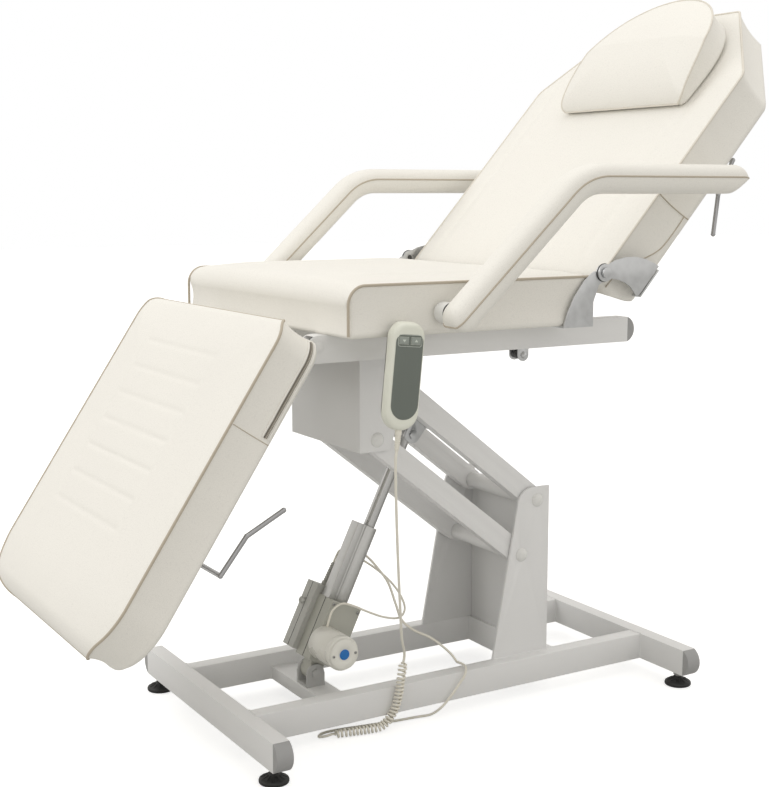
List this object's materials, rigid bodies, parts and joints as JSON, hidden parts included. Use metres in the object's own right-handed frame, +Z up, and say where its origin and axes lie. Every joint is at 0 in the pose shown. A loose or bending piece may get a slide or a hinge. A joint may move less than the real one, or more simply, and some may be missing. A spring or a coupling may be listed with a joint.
{
  "type": "podiatry chair",
  "caption": "Padded treatment chair on a white tube base: motor-driven parallel-arm lift, reclining back with pillow, swinging leg rest and armrests, hooked hand control.",
  "frame": {"origin": "bottom centre of the chair's box, on the floor", "axes": "the sitter faces -Y, X runs across with the sitter's left at +X, +Z is up"},
  "size_m": [0.788, 1.3906, 1.3092],
  "materials": {
    "white_frame": "white powder coat, satin",
    "grey_caps": "light grey moulded plastic",
    "pivot_caps": "white moulded cap over a bolt",
    "zinc": "galvanised sheet steel",
    "foot_black": "black moulded foot",
    "cream_leatherette": "cream coated fabric (leatherette) over foam, piped",
    "boards": "plywood wrapped in cream leatherette",
    "bright_rod": "bright chrome",
    "strut_black": "black painted tube",
    "screw_steel": "plain steel screw",
    "actuator_alu": "anodised extrusion",
    "actuator_grey": "beige grey moulded plastic",
    "plug_grey": "dark grey plug",
    "handset_green": "pale grey green plastic",
    "handset_dark": "dark grey green face",
    "button_grey": "grey green soft button",
    "cord_grey": "light grey cord"
  },
  "bodies": {
    "base": {"side_rails": "white_frame", "cross_beams": "white_frame", "base_crossbars": "white_frame", "beam_end_caps": "grey_caps", "tower_plates": "white_frame", "tower_web": "white_frame", "tower_pivot_bolts": "pivot_caps", "actuator_bracket": "zinc", "handset_cord_upper": "cord_grey", "handset_cord_coil": "cord_grey", "handset_cord_floor": "cord_grey", "handset_cord_rise": "cord_grey"},
    "foot_front_left": {"foot_front_left": "foot_black"},
    "foot_front_right": {"foot_front_right": "foot_black"},
    "foot_rear_left": {"foot_rear_left": "foot_black"},
    "foot_rear_right": {"foot_rear_right": "foot_black"},
    "upper_arms": {"upper_lift_arms": "white_frame", "upper_torque_tube": "white_frame", "clevis_bracket": "zinc"},
    "lower_arms": {"lower_lift_arms": "white_frame", "lower_torque_tube": "white_frame"},
    "seat_frame": {"seat_rails": "white_frame", "seat_crossbars": "white_frame", "front_bracket": "white_frame", "bracket_pivot_bolts": "pivot_caps", "seat_rail_caps": "grey_caps", "seat_board": "boards", "seat_cushion": "cream_leatherette", "seat_hinge_plates": "zinc", "hinge_bolts": "zinc", "armrest_hubs": "pivot_caps", "seat_brackets": "zinc"},
    "backrest": {"back_board": "boards", "back_cushion": "cream_leatherette", "back_hinge_plates": "zinc"},
    "pillow": {"pillow": "cream_leatherette"},
    "back_lever": {"back_lever": "bright_rod"},
    "back_strut_cylinder": {"back_strut_cylinder": "strut_black"},
    "back_strut_rod": {"back_strut_rod": "bright_rod"},
    "legrest": {"leg_board": "boards", "leg_cushion": "cream_leatherette", "leg_brackets": "white_frame"},
    "leg_lever": {"leg_lever": "bright_rod"},
    "leg_strut_cylinder": {"leg_strut_cylinder": "strut_black"},
    "leg_strut_rod": {"leg_strut_rod": "bright_rod"},
    "armrest_left": {"armrest_left": "cream_leatherette"},
    "armrest_right": {"armrest_right": "cream_leatherette"},
    "handset": {"handset_shell": "handset_green", "handset_face": "handset_dark"},
    "button_up": {"button_up": "button_grey"},
    "button_down": {"button_down": "button_grey"},
    "actuator_body": {"actuator_tube": "actuator_alu", "gearbox": "actuator_grey", "motor": "actuator_grey", "control_box": "actuator_grey", "cord_plugs": "plug_grey", "lead_screw": "screw_steel", "motor_lead": "cord_grey"},
    "actuator_rod": {"actuator_rod": "bright_rod"}
  },
  "joints": [
    {"name": "lift", "type": "hinge", "parent": "base", "child": "upper_arms", "pos_m": [0, 0.226, 0.371], "axis": [-1, 0, 0], "range_deg": [-30, 0], "deforming": ["handset_cord_upper", "handset_cord_rise"]},
    {"name": "seat_level", "type": "hinge", "parent": "upper_arms", "child": "seat_frame", "pos_m": [0, -0.08834, 0.61836], "axis": [-1, 0, 0], "range_deg": [0, 30]},
    {"name": "lower_arms_swing", "type": "hinge", "parent": "base", "child": "lower_arms", "pos_m": [0, 0.191, 0.27], "axis": [-1, 0, 0], "range_deg": [-30, 0]},
    {"name": "actuator_tilt", "type": "hinge", "parent": "base", "child": "actuator_body", "pos_m": [0, -0.19, 0.077], "axis": [-1, 0, 0], "range_deg": [0, 2.1]},
    {"name": "actuator_extend", "type": "slide", "parent": "actuator_body", "child": "actuator_rod", "axis": [0, 0.4364, 0.8997], "range_m": [-0.12721, 0]},
    {"name": "backrest_recline", "type": "hinge", "parent": "seat_frame", "child": "backrest", "pos_m": [0, 0.215, 0.805], "axis": [1, 0, 0], "range_deg": [-47.8, 20]},
    {"name": "back_strut_swing", "type": "hinge", "parent": "seat_frame", "child": "back_strut_cylinder", "pos_m": [0, 0.27, 0.63], "axis": [1, 0, 0], "range_deg": [-40.16, 16.8]},
    {"name": "back_strut_stroke", "type": "slide", "parent": "back_strut_cylinder", "child": "back_strut_rod", "axis": [0, 0.6113, 0.7914], "range_m": [-0.13989, 0.05854]},
    {"name": "leg_rest_swing", "type": "hinge", "parent": "seat_frame", "child": "legrest", "pos_m": [0, -0.292, 0.697], "axis": [1, 0, 0], "range_deg": [-56.5, 20]},
    {"name": "leg_strut_swing", "type": "hinge", "parent": "seat_frame", "child": "leg_strut_cylinder", "pos_m": [-0.04, -0.23, 0.645], "axis": [1, 0, 0], "range_deg": [-52.59, 18.62]},
    {"name": "leg_strut_stroke", "type": "slide", "parent": "leg_strut_cylinder", "child": "leg_strut_rod", "axis": [0, -0.6676, -0.7445], "range_m": [-0.02563, 0.07236]},
    {"name": "armrest_left_swing", "type": "hinge", "parent": "seat_frame", "child": "armrest_left", "pos_m": [0.366, -0.111, 0.752], "axis": [1, 0, 0], "range_deg": [0, 75]},
    {"name": "armrest_right_swing", "type": "hinge", "parent": "seat_frame", "child": "armrest_right", "pos_m": [-0.366, -0.111, 0.752], "axis": [1, 0, 0], "range_deg": [0, 75]},
    {"name": "pillow_lift", "type": "slide", "parent": "backrest", "child": "pillow", "axis": [0, -0.7408, 0.6717], "range_m": [0, 0.06]},
    {"name": "back_lever_pull", "type": "hinge", "parent": "backrest", "child": "back_lever", "pos_m": [0.15, 0.55496, 0.9989], "axis": [-1, 0, 0], "range_deg": [0, 15], "stiffness_Nm_per_rad": 3, "springref_deg": -14.32},
    {"name": "leg_lever_pull", "type": "hinge", "parent": "legrest", "child": "leg_lever", "pos_m": [0.15, -0.48365, 0.36216], "axis": [1, 0, 0], "range_deg": [0, 15], "stiffness_Nm_per_rad": 3, "springref_deg": -14.32},
    {"name": "handset_unhook", "type": "slide", "parent": "seat_frame", "child": "handset", "axis": [0, 0.1, 0.995], "range_m": [0, 0.03]},
    {"name": "button_up_press", "type": "slide", "parent": "handset", "child": "button_up", "axis": [-1, 0, 0], "range_m": [0, 0.001], "stiffness_N_per_m": 500, "springref_m": -0.001},
    {"name": "button_down_press", "type": "slide", "parent": "handset", "child": "button_down", "axis": [-1, 0, 0], "range_m": [0, 0.001], "stiffness_N_per_m": 500, "springref_m": -0.001},
    {"name": "foot_front_left_screw", "type": "slide", "parent": "base", "child": "foot_front_left", "axis": [0, 0, -1], "range_m": [0, 0.012]},
    {"name": "foot_front_right_screw", "type": "slide", "parent": "base", "child": "foot_front_right", "axis": [0, 0, -1], "range_m": [0, 0.012]},
    {"name": "foot_rear_left_screw", "type": "slide", "parent": "base", "child": "foot_rear_left", "axis": [0, 0, -1], "range_m": [0, 0.012]},
    {"name": "foot_rear_right_screw", "type": "slide", "parent": "base", "child": "foot_rear_right", "axis": [0, 0, -1], "range_m": [0, 0.012]}
  ],
  "couplings": [
    {"joint": "seat_level", "follows": "lift", "ratio": -1},
    {"joint": "lower_arms_swing", "follows": "lift", "ratio": 1},
    {"joint": "actuator_tilt", "follows": "lift", "ratio": -0.06998},
    {"joint": "actuator_extend", "follows": "lift", "m_per_rad": 0.24291},
    {"joint": "back_strut_swing", "follows": "backrest_recline", "ratio": 0.84008},
    {"joint": "back_strut_stroke", "follows": "backrest_recline", "m_per_rad": 0.16766},
    {"joint": "leg_strut_swing", "follows": "leg_rest_swing", "ratio": 0.93077},
    {"joint": "leg_strut_stroke", "follows": "leg_rest_swing", "m_per_rad": -0.073358}
  ]
}
